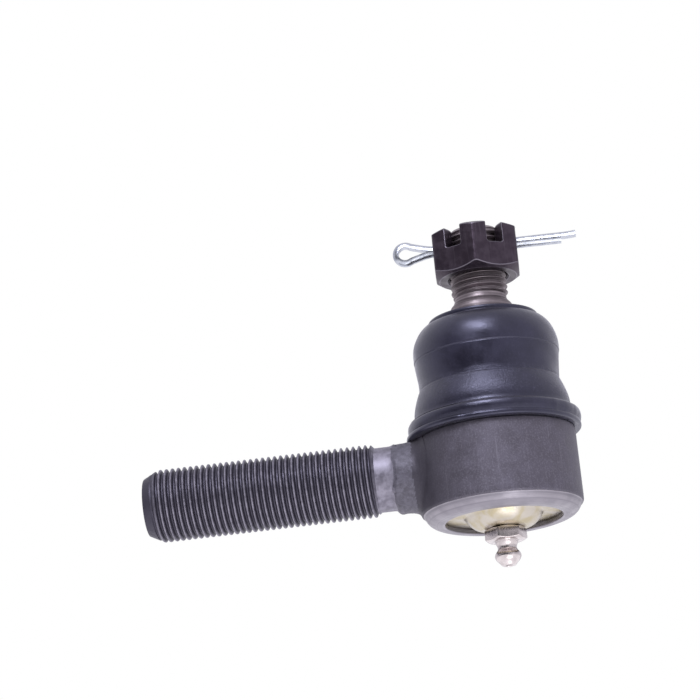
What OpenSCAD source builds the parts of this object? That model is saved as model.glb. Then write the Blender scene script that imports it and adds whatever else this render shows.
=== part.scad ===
// Outer tie rod end, male thread shank, greaseable ball joint.
// Millimetres. Origin at the ball centre, +Z along the stud, shank along -X.
// Every piece is modelled where it sits in the assembled joint.

/* [Shank] */
// nominal diameter of the shank thread
shank_d = 18; // [14:0.5:24]
// pitch of the shank thread
shank_pitch = 1.5; // [1:0.25:2]
// ball axis to the free end of the shank
shank_reach = 87; // [70:0.5:140]
// ball axis to the housing end of the thread
thread_stop = 30.5; // [29:0.5:50]
// length of the lead chamfer on the shank end
lead_l = 3.6; // [2:0.1:5]
// height of the ball centre above the shank axis
ball_rise = 2.6; // [0:0.1:4]

/* [Ball and bearings] */
// ball diameter
ball_d = 24; // [20:0.5:27]
// running clearance of the ball in its bearings, on the radius
ball_play = 0.03; // [0.01:0.01:0.1]
// thickness of the bearings at the ball's equator
bearing_wall = 3.09; // [2.4:0.01:4]
// thickness of the lower seat under the ball
seat_wall = 1.1; // [0.8:0.1:2]
// running clearance of the lower seat in the bore, on the radius
seat_play = 0.05; // [0.02:0.01:0.1]
// wire of the preload spring
spring_wire = 1.3; // [1:0.1:1.6]

/* [Housing] */
// wall of the socket outside the bore
socket_wall = 4.58; // [3.6:0.02:7]
// draft taken off the diameter at the top shoulder
socket_draft = 0.3; // [0:0.1:2]
// height of the rolled lower corner
roll_h = 3.6; // [2:0.1:5]
// thickness of the crimped lip over the cover
lip_t = 1.4; // [1:0.1:2]
// width of the crimped lip that laps the cover
lip_lap = 1.7; // [1:0.1:3]
// wall of the boot spigot outside the bore
spigot_wall = 2.18; // [1.6:0.02:4]
// height of the boot spigot above the shoulder
spigot_h = 3.9; // [3:0.1:5]
// thickness of the socket roof round the stud opening
roof_t = 3.88; // [3:0.01:6]

/* [Cover] */
// thickness of the cover plate
cover_t = 1.4; // [1:0.1:2]
// width of the cover flange seated outside the bore, on the radius
cover_seat = 0.88; // [0.5:0.01:1.5]
// diameter of the pressed dome at its foot
dome_d = 19.2; // [16:0.2:22]
// depth of the pressed dome
dome_h = 3.4; // [2:0.1:5]

/* [Stud] */
// nominal diameter of the stud thread
stud_d = 14; // [12:0.5:16]
// pitch of the stud thread
stud_pitch = 1.5; // [1:0.25:2]
// neck diameter above the ball
neck_d = 12.6; // [11:0.1:14]
// small end diameter of the 1:10 taper
taper_d = 15.6; // [13.5:0.1:17]
// height of the large end of the taper above the ball centre
taper_foot = 17.2; // [16:0.1:20]
// length of the taper
taper_l = 20.6; // [15:0.5:24]
// length of the run-out between the taper and the thread
run_out = 2.6; // [1.8:0.1:6]
// length of thread below the nut
thread_below = 4.9; // [2:0.1:12]
// height of the stud end above the nut's crown
stud_proud = 0.3; // [0:0.1:4]

/* [Castle nut] */
// across flats
nut_af = 20.7; // [20:0.1:24]
// height of the nut with its crown
nut_h = 12; // [11:0.2:18]
// depth of the crown slots
slot_h = 5.5; // [4:0.1:7]
// width of the crown slots
slot_w = 4.4; // [3.4:0.1:5]
// turn of the nut and the split pin hole about the stud
nut_turn = 3; // [-30:1:30]

/* [Split pin] */
// diameter over both legs
pin_d = 2.8; // [2.4:0.1:3.2]
// length of the long leg under the eye
pin_long = 36; // [30:1:50]
// length of the short leg under the eye
pin_short = 32.2; // [28:0.2:46]
// outside diameter of the eye
eye_d = 6; // [5:0.1:7]

/* [Grease fitting] */
// thread diameter of the grease fitting
fit_d = 6; // [5:0.5:8]
// across flats of its hexagon
fit_af = 9; // [7:0.5:11]
// coupling head diameter
fit_head = 6.5; // [6:0.1:7]

/* [Boot] */
// rubber wall of the boot
boot_t = 1.9; // [1.2:0.1:2.6]
// rubber of the base bead outside the spigot, on the radius
bead_wall = 4.1; // [3:0.1:6]
// how far the crown stands out past the spigot, on the radius
crown_out = 0.7; // [-0.5:0.1:2]
// how far the waist stands out past the spigot, on the radius
waist_out = 0.2; // [-0.2:0.1:1]
// how far the top lip stays under the small end of the taper
lip_below = 1.4; // [0:0.1:4]

/* [Hidden] */
eps = 0.01;
shank_r = shank_d / 2;
ball_r = ball_d / 2;
cup_r = ball_r + ball_play;
bore_r = cup_r + bearing_wall;
socket_r = bore_r + socket_wall;
top_r = socket_r - socket_draft / 2;
spigot_r = bore_r + spigot_wall;
thread_depth = 0.6134 * shank_pitch;
stud_depth = 0.6134 * stud_pitch;
relief_r = shank_r - thread_depth - 0.15;
collar_r = relief_r + 0.7;
collar_drop = 0.35;                    // the forged collar sits low on the shank axis
root_x = socket_r + 3.8;
seat_floor = ball_r + seat_wall;       // underside of the lower seat, below the ball centre
cover_in = seat_floor + 0.3;           // inner face of the cover flange
cover_face = cover_in + cover_t;       // outer face of the cover flange
lip_z = cover_face + lip_t;            // lower lip face
apex_z = cover_face + dome_h;          // outer face of the dome
floor_z = apex_z - cover_t;            // inner face of the dome
cover_r = bore_r + cover_seat;
lip_open_r = cover_r - lip_lap;
roof_z = ball_r * 0.41;                // underside of the socket roof
spigot_top = roof_z + roof_t;
shoulder_z = spigot_top - spigot_h;
shell_top = roof_z - 0.02;
shell_r = bore_r - 0.02;
seat_r = bore_r - seat_play;
seat_boss = dome_d / 2 - cover_t - 0.7;
taper_top = taper_foot + taper_l;
big_r = taper_d / 2 + taper_l / 20;
neck_r = neck_d / 2;
neck_foot = sqrt(ball_r * ball_r - neck_r * neck_r);
undercut_r = min(stud_d / 2 - 0.55, taper_d / 2 - 0.6);
thread_foot = taper_top + run_out;
nut_z = thread_foot + thread_below;    // bearing face of the nut
stud_top = nut_z + nut_h + stud_proud;
hole_z = nut_z + nut_h - slot_h + pin_d / 2 + 0.5;
hole_d = pin_d + 0.5;
pin_r = pin_d / 2;
eye_r = eye_d / 2;
spring_r = fit_d / 2 + 2.35;
spring_lo = floor_z - spring_wire / 2 - 0.02;
spring_hi = seat_floor + spring_wire / 2 + 0.02;
hex_h = 3.1;
fit_thread_l = 5.2;
fit_tip = apex_z + hex_h + 6.1;
boot_foot = shoulder_z + 0.05;
boot_top = taper_top - lip_below;
boot_in_r = spigot_r + 0.02;
bead_r = spigot_r + bead_wall;
crown_r = spigot_r + crown_out;
waist_r = spigot_r + waist_out;
hole_r = big_r + 0.9;
neck_ring_z = boot_top - 3.2;
base_ring_z = boot_foot + 2.1;

// external thread drawn as closed grooves, profile points in (radius, height)
function groove(r, d, p, z) = [[r, z + p * 0.0625], [r - d, z + p * 0.4], [r - d, z + p * 0.6], [r, z + p * 0.9375]];

// body of revolution along Z carrying n thread grooves between z0 and z0 + n * p
module threaded(r, d, p, z0, n, foot, head) {
    pts = concat(foot, [for (i = [0:n - 1]) each groove(r, d, p, z0 + i * p)], head);
    rotate_extrude($fn = 48) polygon(pts);
}

// hexagonal prism with both ends chamfered at the corners
module chamfered_hex(af, h, c_lo, c_hi) {
    intersection() {
        cylinder(d = af / cos(30), h = h, $fn = 6);
        rotate_extrude($fn = 72) polygon([[0, 0], [af / 2 - 0.1, 0], [af / cos(30) / 2 + 0.01, c_lo],
            [af / cos(30) / 2 + 0.01, h - c_hi], [af / 2 - 0.1, h], [0, h]]);
    }
}

module shank_raw() {
    n = floor((shank_reach - lead_l - thread_stop) / shank_pitch);
    z_start = shank_reach - lead_l - n * shank_pitch;
    translate([0, 0, -ball_rise]) rotate([0, -90, 0])
        threaded(shank_r, thread_depth, shank_pitch, z_start, n,
            [[0, 8], [relief_r, 8], [relief_r, root_x + 5.2],
             [relief_r, z_start - 1.6], [relief_r + 0.25, z_start - 1.0], [shank_r, z_start - 0.25]],
            [[shank_r, shank_reach - lead_l + 0.05], [shank_r - lead_l * 0.52, shank_reach], [0, shank_reach]]);
}

module socket_raw() {
    rotate_extrude($fn = 96) polygon([
        [0, -lip_z], [socket_r - 3.2, -lip_z], [socket_r - 2.1, -lip_z + 0.12 * roll_h], [socket_r - 1.2, -lip_z + 0.33 * roll_h],
        [socket_r - 0.5, -lip_z + 0.72 * roll_h], [socket_r - 0.3, -lip_z + 0.76 * roll_h], [socket_r, -lip_z + 0.9 * roll_h], [socket_r, -lip_z + roll_h],
        [top_r, shoulder_z - 0.5], [top_r - 0.5, shoulder_z], [spigot_r, shoulder_z], [spigot_r, spigot_top - 0.6],
        [spigot_r - 0.6, spigot_top], [0, spigot_top]]);
}

// forged collar and flare that carry the shank into the socket wall
module root_flare() {
    translate([0, 0, -ball_rise - collar_drop]) rotate([0, -90, 0]) rotate_extrude($fn = 72)
        polygon([[0, 6], [collar_r + 2.6, 6], [collar_r + 2.6, socket_r - 2.6], [collar_r + 1.75, socket_r - 0.6], [collar_r + 0.95, socket_r + 0.9],
            [collar_r + 0.35, socket_r + 2.2], [collar_r + 0.05, root_x - 0.2], [collar_r, root_x + 0.9], [collar_r - 0.3, root_x + 1.4], [relief_r - 0.2, root_x + 2.1], [0, root_x + 2.1]]);
}

module socket_housing() {
    color([0.35, 0.34, 0.38]) difference() {
        union() {
            socket_raw();
            shank_raw();
            root_flare();
        }
        // socket bore, roof and stud opening
        rotate_extrude($fn = 96) polygon([[0, -lip_z - 1], [lip_open_r, -lip_z - 1], [lip_open_r, -lip_z + lip_t - 0.1],
            [lip_open_r + 0.1, -cover_face], [cover_r + 0.02, -cover_face], [cover_r + 0.02, -cover_in],
            [bore_r, -cover_in], [bore_r, shell_top - 1.5], [bore_r - 1.5, roof_z], [roof_open(), roof_z],
            [roof_open() + 2.9, spigot_top + 0.1], [roof_open() + 2.9, spigot_top + 1], [0, spigot_top + 1]]);
        // turned shoulder clearing the boot bead over the shank root
        rotate_extrude($fn = 96) polygon([[spigot_r, shoulder_z], [bead_r + 1.2, shoulder_z], [bead_r + 7, shoulder_z + 1.2],
            [bead_r + 7, shoulder_z + 9], [spigot_r, shoulder_z + 9]]);
    }
}
function roof_open() = sqrt(ball_r * ball_r - roof_z * roof_z) + 0.45;

module upper_bearing() {
    color([0.62, 0.55, 0.42]) difference() {
        rotate_extrude($fn = 96) polygon([[8, -0.8], [shell_r, -0.8], [shell_r, shell_top - 1.5], [shell_r - 1.5, shell_top], [8, shell_top]]);
        sphere(r = cup_r, $fn = 96);
        for (a = [45:90:315]) rotate(a) translate([cup_r + 0.3, 0, -1]) cylinder(r = 1.1, h = 8, $fn = 24);
    }
}

module lower_seat() {
    color([0.42, 0.41, 0.42]) difference() {
        rotate_extrude($fn = 96) polygon([[3.8, -seat_floor], [seat_boss, -seat_floor], [seat_boss + 0.4, -cover_in + 0.8],
            [seat_r - 2, -cover_in + 0.8], [seat_r, -cover_in + 2.8], [seat_r, -2.0], [8, -2.0], [3.8, -9]]);
        sphere(r = cup_r, $fn = 96);
    }
}

module preload_spring() {
    n = 2;
    color([0.55, 0.56, 0.6]) for (i = [0:n - 1])
        translate([0, 0, -spring_lo + i * (spring_lo - spring_hi) / (n - 1)])
            rotate_extrude($fn = 48) translate([spring_r, 0]) circle(d = spring_wire, $fn = 20);
    // rising part of the wire between the two turns
    color([0.55, 0.56, 0.6]) translate([spring_r, 0, -spring_lo]) cylinder(d = spring_wire * 0.85, h = spring_lo - spring_hi, $fn = 20);
}

module cover_plate() {
    f = dome_d / 2;
    color([0.83, 0.8, 0.66]) rotate_extrude($fn = 96) polygon([
        [fit_d / 2 + 0.01, -apex_z], [f - 4.0, -apex_z], [f - 2.3, -apex_z + 0.6], [f - 0.8, -apex_z + 1.9], [f, -cover_face],
        [cover_r - 0.3, -cover_face], [cover_r, -cover_face + 0.3], [cover_r, -cover_in],
        [f - 0.4, -cover_in], [f - cover_t - 0.2, -cover_in - 1.1], [f - cover_t - 1.3, -floor_z + 0.5], [f - cover_t - 2.1, -floor_z],
        [fit_d / 2 + 1.5, -floor_z], [fit_d / 2 + 1.5, -floor_z + 1.4], [fit_d / 2 + 0.01, -floor_z + 1.8]]);
}

module fitting_body() {
    n = floor((fit_thread_l - 1.2) / 1);
    t0 = -apex_z + 0.6;
    h = fit_head / 2;
    color([0.78, 0.76, 0.72]) difference() {
        union() {
            // M6 thread, screwed into the extruded hole of the cover
            threaded(fit_d / 2, 0.6, 1, t0, n,
                [[0, -apex_z - 0.2], [fit_d / 2, -apex_z - 0.2]],
                [[fit_d / 2, t0 + n + 0.1], [fit_d / 2 - 0.6, -apex_z + fit_thread_l], [0, -apex_z + fit_thread_l]]);
            translate([0, 0, -apex_z - hex_h]) rotate(12) chamfered_hex(fit_af, hex_h - 0.01, 0.5, 0.5);
            rotate_extrude($fn = 48) polygon([[0, -apex_z - hex_h + 0.1], [2.9, -apex_z - hex_h + 0.1], [2.75, -apex_z - hex_h - 0.5],
                [2.35, -apex_z - hex_h - 1.3], [2.35, -apex_z - hex_h - 2.0], [h - 0.15, -fit_tip + 3.1], [h, -fit_tip + 2.7],
                [h, -fit_tip + 2.2], [h - 0.9, -fit_tip + 0.9], [1.55, -fit_tip], [0, -fit_tip]]);
        }
        rotate_extrude($fn = 32) polygon([[0, -fit_tip - 1], [0.85, -fit_tip - 1], [0.85, -fit_tip + 0.3], [1.45, -fit_tip + 0.95],
            [1.45, -apex_z + 2], [1.1, -apex_z + 2], [1.1, 0], [0, 0]]);
    }
}

module fitting_ball() {
    color([0.8, 0.8, 0.82]) translate([0, 0, -fit_tip + 1.42]) sphere(r = 1.15, $fn = 32);
}

module fitting_spring() {
    z0 = -fit_tip + 2.75;
    z1 = -apex_z + 1.9;
    n = 7;
    color([0.6, 0.6, 0.62]) for (i = [0:n - 1])
        translate([0, 0, z0 + 0.15 + i * (z1 - z0 - 0.3) / (n - 1)])
            rotate_extrude($fn = 24) translate([1.05, 0]) circle(d = 0.34, $fn = 14);
    // turns joined by the rising part of the wire
    color([0.6, 0.6, 0.62]) translate([1.05, 0, z0 + 0.1]) cylinder(d = 0.3, h = z1 - z0 - 0.2, $fn = 14);
}

module ball_stud() {
    n = floor((stud_top - 1.6 - thread_foot) / stud_pitch);
    color([0.55, 0.53, 0.52]) difference() {
        union() {
            intersection() {
                sphere(r = ball_r, $fn = 96);
                translate([0, 0, ball_r * 0.03]) cube([ball_d, ball_d, ball_d * 0.985], center = true);
            }
            threaded(stud_d / 2, stud_depth, stud_pitch, thread_foot, n,
                [[0, 2], [neck_r, 2], [neck_r, neck_foot + 0.4], [neck_r + 0.12, neck_foot + 2.4], [neck_r + 0.7, taper_foot - 1.6],
                 [big_r - 0.5, taper_foot - 0.4], [big_r, taper_foot + 0.2], [taper_d / 2, taper_top],
                 [undercut_r + 0.3, taper_top + run_out * 0.42], [undercut_r, taper_top + run_out * 0.7], [undercut_r, thread_foot - 0.5], [stud_d / 2, thread_foot]],
                [[stud_d / 2, thread_foot + n * stud_pitch + 0.05], [stud_d / 2, stud_top - 1.3], [stud_d / 2 - 1.3, stud_top], [0, stud_top]]);
        }
        translate([0, 0, hole_z]) rotate(nut_turn) rotate([0, 90, 0]) cylinder(d = hole_d, h = 30, center = true, $fn = 32);
    }
}

module dust_boot() {
    w = waist_r; c = crown_r; t = boot_t; f = boot_foot; b = boot_top;
    h = b - f;
    color([0.1, 0.1, 0.12]) difference() {
        rotate_extrude($fn = 96) polygon([
            [boot_in_r, f], [bead_r - 0.7, f], [bead_r - 0.25, f + 0.4], [bead_r - 0.2, f + 0.9], [bead_r - 0.42, f + 1.3], [bead_r - 0.28, f + 1.7],
            [bead_r, f + 2.4], [bead_r, f + 3.0], [bead_r - 0.2, f + 3.9], [bead_r - 0.9, f + 4.4], [bead_r - 1.8, f + 4.55], [bead_r - 2.2, f + 5.0],
            [bead_r - 2.3, f + 6.4], [w + 1.0, f + 0.28 * h], [w + 0.35, f + 0.37 * h], [w, f + 0.46 * h], [w + 0.05, f + 0.54 * h], [c - 0.3, f + 0.64 * h],
            [c - 0.08, f + 0.68 * h], [c - 0.32, f + 0.687 * h], [c, f + 0.70 * h], [c, f + 0.76 * h], [c - 0.45, f + 0.83 * h], [c - 1.5, f + 0.89 * h],
            [c - 2.8, b - 2.0], [c - 3.7, b - 0.95], [c - 4.1, b - 0.35], [c - 4.3, b], [c - 4.7, b - 0.1], [c - 5.1, b - 0.6],
            [hole_r + 1.2, b - 1.0], [hole_r, b - 0.5], [hole_r - 0.75, b - 0.5], [hole_r - 0.75, b - 1.0], [hole_r + 0.02, b - 1.4],
            [hole_r + 0.02, b - 4.4], [hole_r + 1.6, b - 4.4],
            [c - 2.8 - t * 0.75, b - 1.9 - t * 0.75], [c - 1.6 - t, f + 0.85 * h], [c - t - 0.3, f + 0.77 * h], [c - t, f + 0.70 * h],
            [w - t, f + 0.46 * h], [w + 0.35 - t, f + 0.36 * h], [bead_r - 2.4 - t, f + 6.0], [boot_in_r, spigot_top + 0.15]]);
        // pocket for the moulded-in base ring
        translate([0, 0, base_ring_z]) rotate_extrude($fn = 96) polygon([[boot_in_r + 0.78, -0.92], [boot_in_r + 2.02, -0.92], [boot_in_r + 2.02, 0.92], [boot_in_r + 0.78, 0.92]]);
    }
}

module boot_base_ring() {
    color([0.5, 0.5, 0.52]) translate([0, 0, base_ring_z])
        rotate_extrude($fn = 96) polygon([[boot_in_r + 0.8, -0.9], [boot_in_r + 2.0, -0.9], [boot_in_r + 2.0, 0.9], [boot_in_r + 0.8, 0.9]]);
}

module boot_neck_ring() {
    color([0.5, 0.5, 0.52]) rotate_extrude($fn = 72) polygon([[hole_r - 0.75, neck_ring_z - 0.9], [hole_r, neck_ring_z - 0.9],
        [hole_r, neck_ring_z + 1.7], [hole_r - 0.75, neck_ring_z + 1.7]]);
}

module castle_nut() {
    color([0.13, 0.13, 0.14]) translate([0, 0, nut_z]) rotate(nut_turn) difference() {
        rotate(30) chamfered_hex(nut_af, nut_h, 1.7, 1.1);
        translate([0, 0, -1]) cylinder(r = stud_d / 2 + 0.01, h = nut_h + 2, $fn = 64);
        translate([0, 0, -eps]) cylinder(r1 = stud_d / 2 + 0.6, r2 = stud_d / 2 - 0.2, h = 0.8, $fn = 64);
        for (a = [0:60:120]) rotate(a) translate([-nut_af, -slot_w / 2, nut_h - slot_h]) cube([2 * nut_af, slot_w, slot_h + 1]);
    }
}

// split pin: both half round legs closed on each other up to the short leg's end, then the long leg alone
module split_pin() {
    e = eye_r - pin_r;                // inside radius of the eye
    cx = 6.6;                         // eye centre from the leg root
    w = pin_r * 0.86;                 // half width of the wire in the eye
    seat_x = nut_af / 2 + 0.4;        // eye stands off the nut flat
    color([0.78, 0.79, 0.82]) translate([0, 0, hole_z]) rotate(nut_turn) translate([-seat_x, 0, 0]) {
        difference() {
            rotate([0, 90, 0]) cylinder(r = pin_r, h = pin_long, $fn = 32);
            translate([pin_short, -pin_d, -pin_d]) cube([pin_long, 2 * pin_d, pin_d]);
        }
        rotate([90, 0, 0]) translate([0, 0, -w]) linear_extrude(2 * w) difference() {
            union() {
                translate([-cx, 0]) circle(r = eye_r, $fn = 48);
                polygon([[-cx + eye_r * cos(76), eye_r * sin(76)], [0.2, pin_r * 0.9], [0.2, -pin_r * 0.9], [-cx + eye_r * cos(76), -eye_r * sin(76)]]);
            }
            translate([-cx, 0]) circle(r = e, $fn = 48);
            polygon([[-cx + e * cos(72), e * sin(72)], [-1.3, 0.1], [-1.3, -0.1], [-cx + e * cos(72), -e * sin(72)]]);
        }
    }
}

socket_housing();
upper_bearing();
lower_seat();
preload_spring();
cover_plate();
fitting_body();
fitting_ball();
fitting_spring();
ball_stud();
dust_boot();
boot_base_ring();
boot_neck_ring();
castle_nut();
split_pin();
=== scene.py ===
"""Outer tie rod end with a male thread shank: the looks of each piece, made on the CAD model's frame.
Lengths in the makers below are millimetres; a piece is turned to metres when its mesh is made."""
import math

import bmesh
import bpy
import numpy as np
from mathutils import Matrix, Vector


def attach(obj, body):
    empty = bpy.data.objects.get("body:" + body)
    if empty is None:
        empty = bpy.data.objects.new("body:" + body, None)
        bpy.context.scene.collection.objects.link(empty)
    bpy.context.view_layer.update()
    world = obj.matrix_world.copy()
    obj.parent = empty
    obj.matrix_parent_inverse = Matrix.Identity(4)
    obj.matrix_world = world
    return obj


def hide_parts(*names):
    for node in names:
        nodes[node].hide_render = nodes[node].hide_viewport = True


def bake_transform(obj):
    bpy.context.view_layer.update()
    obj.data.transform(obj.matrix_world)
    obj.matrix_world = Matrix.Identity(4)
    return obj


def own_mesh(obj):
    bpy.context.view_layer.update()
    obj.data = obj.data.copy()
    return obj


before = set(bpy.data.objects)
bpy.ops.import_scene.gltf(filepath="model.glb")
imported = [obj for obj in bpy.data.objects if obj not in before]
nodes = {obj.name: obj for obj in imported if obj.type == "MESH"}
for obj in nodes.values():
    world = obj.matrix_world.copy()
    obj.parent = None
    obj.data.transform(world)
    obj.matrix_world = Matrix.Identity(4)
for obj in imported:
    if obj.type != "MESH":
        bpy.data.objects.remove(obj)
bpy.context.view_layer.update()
MM = 0.001
TAU = 2 * math.pi

# ---------------------------------------------------------------- sizes, mm, the CAD model's but for BOOT_TOP
# BOOT_TOP is the real part's; the CAD model's boot stands 1.6 taller than that
SHANK_R, SHANK_PITCH, SHANK_REACH, THREAD_STOP, COLLAR_END = 9.0, 1.5, 87.0, 30.5, 24.9
SHANK_Z = -2.6
RELIEF_R, COLLAR_R, COLLAR_DROP = 7.93, 8.63, 0.35
SOCKET_R, TOP_R, LIP_Z, SHOULDER_Z, SPIGOT_R, SPIGOT_TOP = 19.7, 19.55, 16.2, 4.9, 17.3, 8.8
BORE_R, BALL_R = 15.12, 12.0
COVER_FACE, COVER_IN, APEX_Z, FLOOR_Z = 14.8, 13.4, 18.2, 16.8
TAPER_R, TAPER_TOP, TAPER_FOOT, BIG_R = 7.8, 37.8, 17.2, 8.83
STUD_R, STUD_PITCH, STUD_TOP = 7.0, 1.5, 57.6
NUT_AF, NUT_Z, NUT_H, SLOT_H, SLOT_W, NUT_TURN = 20.7, 45.3, 12.0, 5.5, 4.4, 3.0
PIN_R, PIN_LONG, PIN_SHORT, EYE_R = 1.4, 36.0, 32.2, 3.0
HOLE_Z = NUT_Z + NUT_H - SLOT_H + PIN_R + 0.5
BOOT_FOOT, BOOT_TOP, CROWN_R = 4.95, 34.8, 18.0
SEAT_TRAVEL, CHECK_LIFT = 0.6, 0.8
# flat sides that stand for a full turn
SOCKET_SIDES, BOOT_SIDES, COVER_SIDES = 192, 208, 144


# ---------------------------------------------------------------- mesh makers
def rounded(corners, closed=False, steps=5):
    """(radius, height, corner radius) points to a line of (radius, height) with its corners rounded."""
    pts = [(c[0], c[1], c[2] if len(c) > 2 else 0.0) for c in corners]
    out = []
    for i, (r, z, c) in enumerate(pts):
        here = np.array([r, z])
        if c <= 0 or (not closed and i in (0, len(pts) - 1)):
            out.append(here)
            continue
        before, after = np.array(pts[i - 1][:2]), np.array(pts[(i + 1) % len(pts)][:2])
        la, lb = np.linalg.norm(before - here), np.linalg.norm(after - here)
        a = here + (before - here) / la * min(c, la * 0.48)
        b = here + (after - here) / lb * min(c, lb * 0.48)
        for t in np.linspace(0, 1, steps + 1):
            out.append((1 - t) ** 2 * a + 2 * t * (1 - t) * here + t * t * b)
    return np.array(out)


def split_long(line, longest, closed=False):
    """The same line with no piece of it longer than that."""
    out = []
    last = len(line) if closed else len(line) - 1
    for i in range(last):
        a, b = line[i], line[(i + 1) % len(line)]
        n = max(1, int(math.ceil(np.linalg.norm(b - a) / longest)))
        out += [a + (b - a) * k / n for k in range(n)]
    if not closed:
        out.append(line[-1])
    return np.array(out)


def piece(name, verts, faces, finishes, body, pick=None, sharp=38.0):
    """A closed mesh from points in mm: seams welded, faces outwards, smooth but for edges sharper than that many
    degrees."""
    mesh = bpy.data.meshes.new(name)
    mesh.from_pydata((np.asarray(verts) * MM).tolist(), [], faces)
    work = bmesh.new()
    work.from_mesh(mesh)
    bmesh.ops.remove_doubles(work, verts=work.verts, dist=2e-7)
    bmesh.ops.dissolve_degenerate(work, dist=1e-8, edges=work.edges)
    bmesh.ops.recalc_face_normals(work, faces=work.faces)
    work.to_mesh(mesh)
    work.free()
    for finish in finishes:
        mesh.materials.append(finish)
    if pick:
        centres = np.empty(len(mesh.polygons) * 3)
        mesh.polygons.foreach_get("center", centres)
        chosen = pick(centres.reshape(-1, 3) / MM)
        mesh.polygons.foreach_set("material_index", chosen.astype(np.int32))
    mesh.polygons.foreach_set("use_smooth", [True] * len(mesh.polygons))
    mesh.set_sharp_from_angle(angle=math.radians(sharp))
    made = bpy.data.objects.new(name, mesh)
    bpy.context.scene.collection.objects.link(made)
    if body:
        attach(made, body)
    return made


def grid_faces(rows, columns, wrap_rows=False):
    """Quads between rings of points, each ring closed on itself."""
    faces = []
    for j in range(rows if wrap_rows else rows - 1):
        k = (j + 1) % rows
        for i in range(columns):
            n = (i + 1) % columns
            faces.append((j * columns + i, j * columns + n, k * columns + n, k * columns + i))
    return faces


def fan(first, n, tip):
    """Triangles from a ring of n points, counted from the first, to a tip."""
    return [(first + i, first + (i + 1) % n, tip) for i in range(n)]


def raised(outline, low, high):
    """Points and faces of a flat outline raised from one height to another."""
    n = len(outline)
    points = np.concatenate([np.column_stack([outline, np.full(n, z)]) for z in (low, high)])
    ends = [tuple(range(n - 1, -1, -1)), tuple(range(n, 2 * n))]
    return points, ends + [(i, (i + 1) % n, (i + 1) % n + n, i + n) for i in range(n)]


def turned(line, around, closed=False, shape=None):
    """Points and faces of a line of (radius, height) turned about the upright axis."""
    angle = np.arange(around) / around * TAU
    r = np.repeat(line[:, 0][:, None], around, 1)
    z = np.repeat(line[:, 1][:, None], around, 1)
    a = np.repeat(angle[None, :], len(line), 0)
    if shape:
        r, z = shape(r, z, a)
    points = np.stack([r * np.cos(a), r * np.sin(a), z], -1).reshape(-1, 3)
    return points, grid_faces(len(line), around, closed)


def waves(a, seed, terms, strength):
    """A gentle, repeatable unevenness round a circle."""
    rng = np.random.default_rng(seed)
    out = np.zeros_like(a)
    for k in terms:
        out = out + strength / math.sqrt(k) * np.sin(k * a + rng.uniform(0, TAU))
    return out


# ---------------------------------------------------------------- nodes
MATH, RANGE, MIX = "ShaderNodeMath", "ShaderNodeMapRange", "ShaderNodeMix"
NOISE, BUMP = "ShaderNodeTexNoise", "ShaderNodeBump"
EASED = {"interpolation_type": "SMOOTHSTEP"}


def add(tree, kind, inputs=None, **settings):
    """One node of that kind with its settings; an input takes a value or another node or socket."""
    made = tree.nodes.new(kind)
    for name, value in settings.items():
        setattr(made, name, value)
    for name, value in (inputs or {}).items():
        if isinstance(value, bpy.types.Node):
            value = next(o for o in value.outputs if o.enabled)
        if isinstance(value, bpy.types.NodeSocket):
            tree.links.new(value, made.inputs[name])
        else:
            made.inputs[name].default_value = value
    return made


def paint(code):
    """sRGB hex to the linear colour a shader takes."""
    parts = [int(code[i:i + 2], 16) / 255 for i in (1, 3, 5)]
    return tuple(p / 12.92 if p <= 0.04045 else ((p + 0.055) / 1.055) ** 2.4 for p in parts) + (1.0,)


def new_finish(name, metallic, roughness, **sockets):
    made = bpy.data.materials.new(name)
    made.use_nodes = True
    tree = made.node_tree
    shader = tree.nodes["Principled BSDF"]
    shader.inputs["Metallic"].default_value = metallic
    shader.inputs["Roughness"].default_value = roughness
    for socket, value in sockets.items():
        shader.inputs[socket].default_value = value
    return made, tree, shader


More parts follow.
